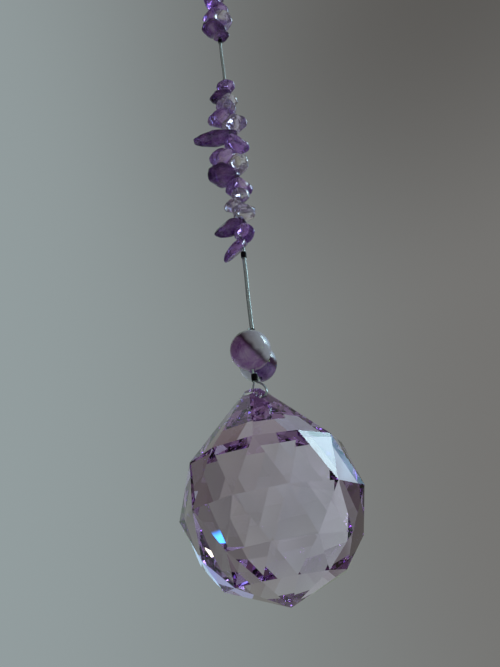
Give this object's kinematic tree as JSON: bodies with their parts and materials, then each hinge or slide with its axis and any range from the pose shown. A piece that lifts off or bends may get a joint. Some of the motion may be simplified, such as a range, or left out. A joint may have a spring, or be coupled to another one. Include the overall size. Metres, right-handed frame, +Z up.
{
  "type": "crystal suncatcher",
  "caption": "Hanging suncatcher: a faceted pale lilac glass ball under round amethyst beads and stacks of tumbled amethyst chips on beading wire, with a ring to hang it by.",
  "frame": {"origin": "where a hook bears: the inside of the hanging ring at its top", "axes": "+Z up along the plumb wire; the ring lies in the XZ plane; -Y is the front, where the drilled hole of the ball opens"},
  "size_m": [0.0298, 0.0298, 0.1824],
  "materials": {
    "lilac_crystal": "clear pale lilac crystal glass, cut and polished facets",
    "round_amethyst": "polished amethyst with fine veins",
    "amethyst": "tumble-polished translucent amethyst",
    "pale_amethyst": "tumble-polished pale clear amethyst",
    "dark_amethyst": "tumble-polished dark amethyst",
    "beading_cable": "seven-strand twisted steel beading wire",
    "ring_steel": "polished steel wire",
    "black_crimp": "black-plated crimp tube"
  },
  "bodies": {
    "root": {"hanging_ring": "ring_steel", "beading_wire": "beading_cable", "crimp_under_beads": "black_crimp", "crimp_over_beads": "black_crimp", "crimp_under_chips": "black_crimp", "crimp_under_top_chips": "black_crimp", "crimp_under_ring": "black_crimp", "round_bead_front": "round_amethyst", "round_bead_back": "round_amethyst", "chip_01": "amethyst", "chip_02": "amethyst", "chip_03": "dark_amethyst", "chip_04": "pale_amethyst", "chip_05": "pale_amethyst", "chip_06": "pale_amethyst", "chip_07": "amethyst", "chip_08": "dark_amethyst", "chip_09": "pale_amethyst", "chip_10": "amethyst", "chip_11": "amethyst", "chip_12": "dark_amethyst", "chip_13": "pale_amethyst", "chip_14": "amethyst", "chip_15": "pale_amethyst", "chip_16": "pale_amethyst", "chip_17": "dark_amethyst", "chip_18": "amethyst", "top_chip_01": "dark_amethyst", "top_chip_02": "dark_amethyst", "top_chip_03": "pale_amethyst", "top_chip_04": "amethyst", "top_chip_05": "amethyst", "top_chip_06": "amethyst", "top_chip_07": "pale_amethyst", "crystal_ball": "lilac_crystal"}
  },
  "joints": []
}
